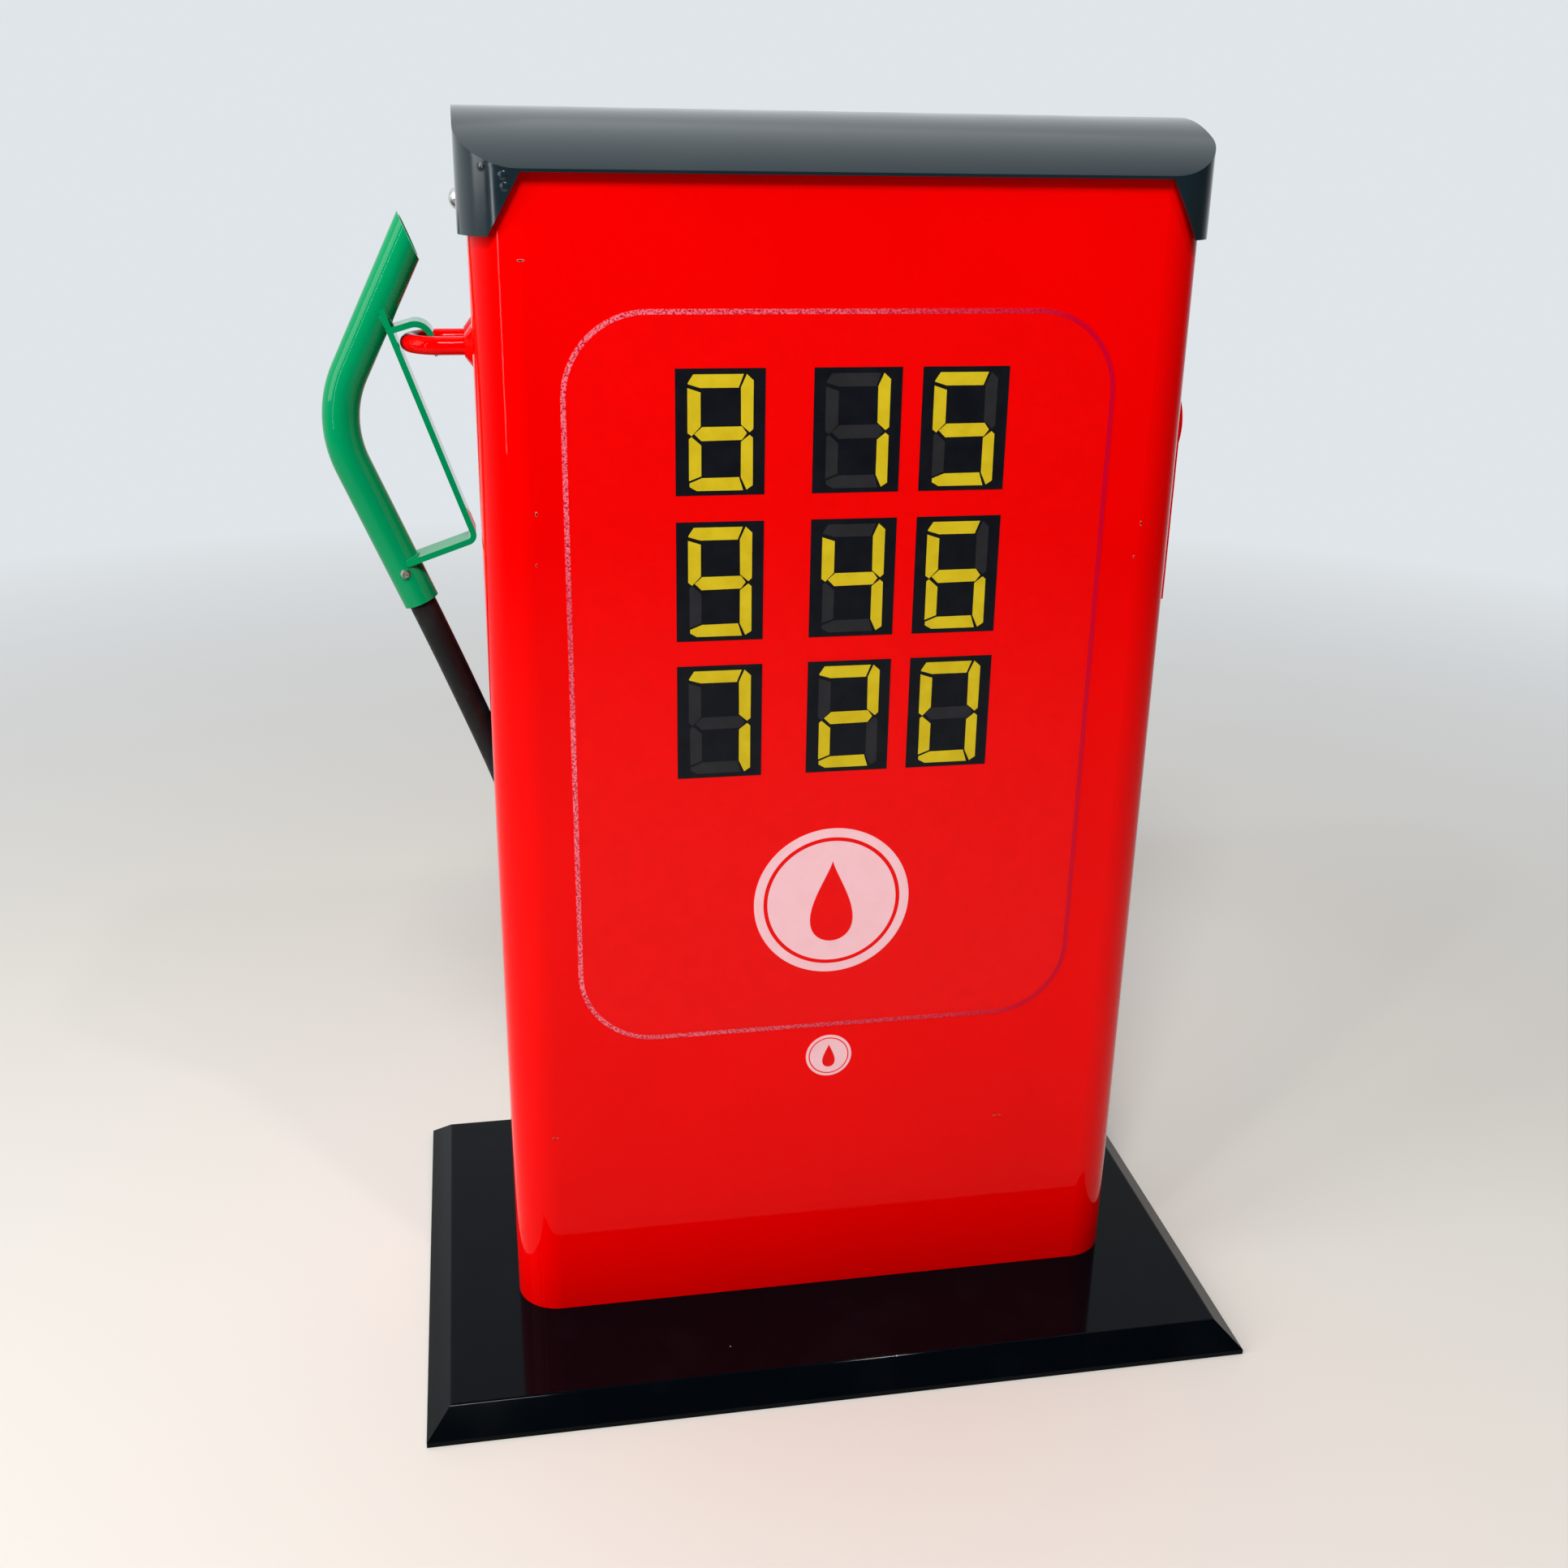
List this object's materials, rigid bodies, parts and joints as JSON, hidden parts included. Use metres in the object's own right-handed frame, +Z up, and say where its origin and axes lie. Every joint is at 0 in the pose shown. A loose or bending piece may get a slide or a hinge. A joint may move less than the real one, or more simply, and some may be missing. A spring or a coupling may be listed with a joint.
{
  "type": "play fuel pump",
  "caption": "Free-standing play fuel pump: rounded sheet-metal cabinet on a tray base, barrel roof, digit labels, and a bent-tube nozzle with guard, hook and hose.",
  "frame": {"origin": "on the floor, under the middle of the cabinet", "axes": "+Z up, +X to the viewer's right when facing the digits, -Y towards the viewer"},
  "size_m": [0.6532, 0.405, 0.8945],
  "materials": {
    "red_paint": "gloss enamel",
    "roof_paint": "satin powder coat",
    "base_paint": "semi-gloss powder coat",
    "green_paint": "gloss enamel",
    "zinc_steel": "zinc plated",
    "hose_rubber": "matt",
    "stop_plastic": "matt",
    "red_label": "glossy film",
    "digit_print": "satin film",
    "white_label": "printed film"
  },
  "bodies": {
    "root": {"base_bolts": "zinc_steel", "base_nuts": "zinc_steel", "base_plate": "base_paint", "body_shell": "red_paint", "digit_label_1_1": "digit_print", "digit_label_1_2": "digit_print", "digit_label_1_3": "digit_print", "digit_label_2_1": "digit_print", "digit_label_2_2": "digit_print", "digit_label_2_3": "digit_print", "digit_label_3_1": "digit_print", "digit_label_3_2": "digit_print", "digit_label_3_3": "digit_print", "front_panel_label": "red_label", "holder_collars": "red_paint", "holder_nuts": "zinc_steel", "hose": "hose_rubber", "hose_stop": "stop_plastic", "nozzle_holder": "red_paint", "roof_end_left": "roof_paint", "roof_end_right": "roof_paint", "roof_nuts": "zinc_steel", "roof_screws": "zinc_steel", "roof_spacers": "zinc_steel", "roof_top_sheet": "roof_paint", "round_emblem": "white_label", "side_hood": "red_paint", "small_round_label": "white_label"},
    "nozzle": {"nozzle_tube": "green_paint", "trigger_guard": "green_paint", "nozzle_hook": "green_paint", "hose_insert": "hose_rubber", "hose_lock_screw": "zinc_steel"}
  },
  "joints": [
    {"name": "nozzle_lift", "type": "slide", "parent": "root", "child": "nozzle", "axis": [-0.3289, 0, 0.9444], "range_m": [0, 0.06]}
  ]
}
